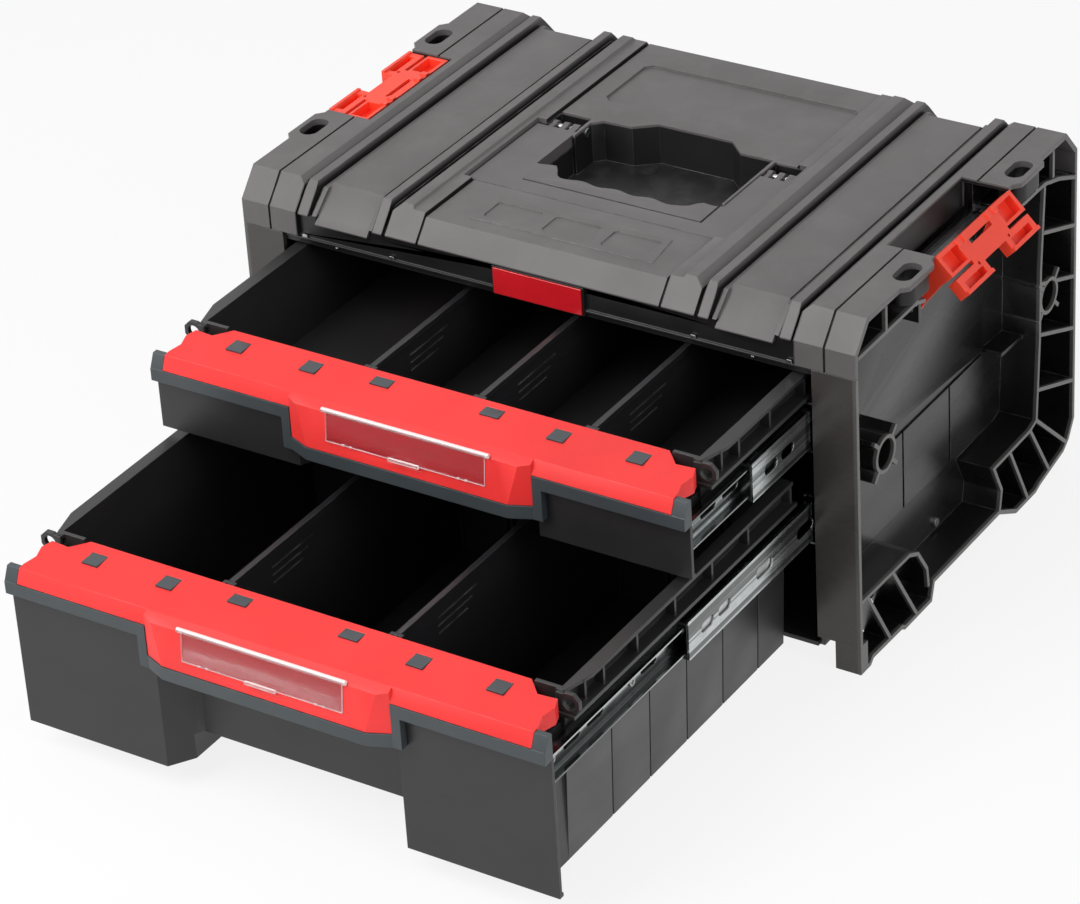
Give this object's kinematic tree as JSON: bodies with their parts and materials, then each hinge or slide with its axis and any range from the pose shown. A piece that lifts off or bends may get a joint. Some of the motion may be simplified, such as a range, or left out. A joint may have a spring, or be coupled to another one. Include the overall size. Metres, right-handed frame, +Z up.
{
  "type": "portable tool box with drawers",
  "caption": "Portable tool box with drawers on full-extension ball runners, fold-flat carry handle, side latches and removable dividers",
  "frame": {"origin": "on the ground, in the middle of the case's footprint, drawers not counted", "axes": "+X to the right, +Y to the back, +Z up; the drawers open along -Y"},
  "size_m": [0.4778, 0.6139, 0.248],
  "materials": {
    "cover_plastic": "fine grained dark warm grey moulding",
    "frame_plastic": "fine grained near-black moulding",
    "tray_plastic": "satin black moulding",
    "divider_plastic": "satin black moulding",
    "slate_plastic": "smooth dark slate moulding",
    "rail_red": "matte signal red moulding",
    "latch_orange": "satin orange-red moulding",
    "plate_red": "gloss red plate",
    "runner_steel": "bright zinc-plated rolled steel",
    "cage_steel": "thin steel cage with polished balls",
    "screw_steel": "zinc-plated steel",
    "bumper_plastic": "black plastic",
    "clear_window": "clear polycarbonate"
  },
  "bodies": {
    "case": {"top_cover": "cover_plastic", "side_frame_left": "frame_plastic", "side_frame_right": "frame_plastic", "back_panel": "frame_plastic", "base_plate": "frame_plastic", "front_fascia": "frame_plastic", "fascia_plate": "plate_red", "case_screws": "screw_steel", "handle_pins": "screw_steel", "latch_pin_left": "screw_steel", "latch_pin_right": "screw_steel", "upper_outer_runner_left": "runner_steel", "upper_outer_runner_right": "runner_steel", "lower_outer_runner_left": "runner_steel", "lower_outer_runner_right": "runner_steel", "case_runner_screws": "screw_steel"},
    "handle": {"carry_handle": "cover_plastic"},
    "left_latch": {"latch_left": "latch_orange"},
    "right_latch": {"latch_right": "latch_orange"},
    "upper_drawer": {"upper_tray": "tray_plastic", "upper_lip": "slate_plastic", "upper_rail": "rail_red", "upper_divider_left": "divider_plastic", "upper_divider_middle": "divider_plastic", "upper_divider_right": "divider_plastic", "upper_inner_runner_left": "runner_steel", "upper_inner_runner_right": "runner_steel", "upper_tray_screws": "screw_steel"},
    "lower_drawer": {"lower_tray": "tray_plastic", "lower_lip": "slate_plastic", "lower_rail": "rail_red", "lower_divider_left": "divider_plastic", "lower_divider_right": "divider_plastic", "lower_inner_runner_left": "runner_steel", "lower_inner_runner_right": "runner_steel", "lower_tray_screws": "screw_steel"},
    "upper_mid_runners": {"upper_mid_runner_left": "runner_steel", "upper_mid_runner_right": "runner_steel", "upper_bumpers": "bumper_plastic"},
    "lower_mid_runners": {"lower_mid_runner_left": "runner_steel", "lower_mid_runner_right": "runner_steel", "lower_bumpers": "bumper_plastic"},
    "upper_outer_balls": {"upper_outer_cages": "cage_steel"},
    "upper_inner_balls": {"upper_inner_cages": "cage_steel"},
    "lower_outer_balls": {"lower_outer_cages": "cage_steel"},
    "lower_inner_balls": {"lower_inner_cages": "cage_steel"},
    "upper_window": {"upper_label_window": "clear_window"},
    "lower_window": {"lower_label_window": "clear_window"}
  },
  "joints": [
    {"name": "handle_fold", "type": "hinge", "parent": "case", "child": "handle", "pos_m": [0, 0.014, 0.2389], "axis": [-1, 0, 0], "range_deg": [0, 90]},
    {"name": "left_latch_swing", "type": "hinge", "parent": "case", "child": "left_latch", "pos_m": [-0.211, 0, 0.21], "axis": [0, -1, 0], "range_deg": [0, 45]},
    {"name": "right_latch_swing", "type": "hinge", "parent": "case", "child": "right_latch", "pos_m": [0.211, 0, 0.21], "axis": [0, 1, 0], "range_deg": [-45, 0]},
    {"name": "upper_drawer_slide", "type": "slide", "parent": "case", "child": "upper_drawer", "axis": [0, -1, 0], "range_m": [-0.143, 0.159]},
    {"name": "lower_drawer_slide", "type": "slide", "parent": "case", "child": "lower_drawer", "axis": [0, -1, 0], "range_m": [-0.302, 0]},
    {"name": "upper_window_flip", "type": "hinge", "parent": "upper_drawer", "child": "upper_window", "pos_m": [0, -0.3011, 0.197], "axis": [-1, 0, 0], "range_deg": [0, 100]},
    {"name": "lower_window_flip", "type": "hinge", "parent": "lower_drawer", "child": "lower_window", "pos_m": [0, -0.4601, 0.131], "axis": [-1, 0, 0], "range_deg": [0, 100]},
    {"name": "upper_mid_slide", "type": "slide", "parent": "case", "child": "upper_mid_runners", "axis": [0, -1, 0], "range_m": [-0.0715, 0.0795]},
    {"name": "upper_outer_ball_slide", "type": "slide", "parent": "case", "child": "upper_outer_balls", "axis": [0, -1, 0], "range_m": [-0.03575, 0.03975]},
    {"name": "upper_inner_ball_slide", "type": "slide", "parent": "case", "child": "upper_inner_balls", "axis": [0, -1, 0], "range_m": [-0.10725, 0.11925]},
    {"name": "lower_mid_slide", "type": "slide", "parent": "case", "child": "lower_mid_runners", "axis": [0, -1, 0], "range_m": [-0.151, 0]},
    {"name": "lower_outer_ball_slide", "type": "slide", "parent": "case", "child": "lower_outer_balls", "axis": [0, -1, 0], "range_m": [-0.0755, 0]},
    {"name": "lower_inner_ball_slide", "type": "slide", "parent": "case", "child": "lower_inner_balls", "axis": [0, -1, 0], "range_m": [-0.2265, 0]}
  ],
  "couplings": [
    {"joint": "upper_mid_slide", "follows": "upper_drawer_slide", "ratio": 0.5},
    {"joint": "upper_outer_ball_slide", "follows": "upper_drawer_slide", "ratio": 0.25},
    {"joint": "upper_inner_ball_slide", "follows": "upper_drawer_slide", "ratio": 0.75},
    {"joint": "lower_mid_slide", "follows": "lower_drawer_slide", "ratio": 0.5},
    {"joint": "lower_outer_ball_slide", "follows": "lower_drawer_slide", "ratio": 0.25},
    {"joint": "lower_inner_ball_slide", "follows": "lower_drawer_slide", "ratio": 0.75}
  ]
}
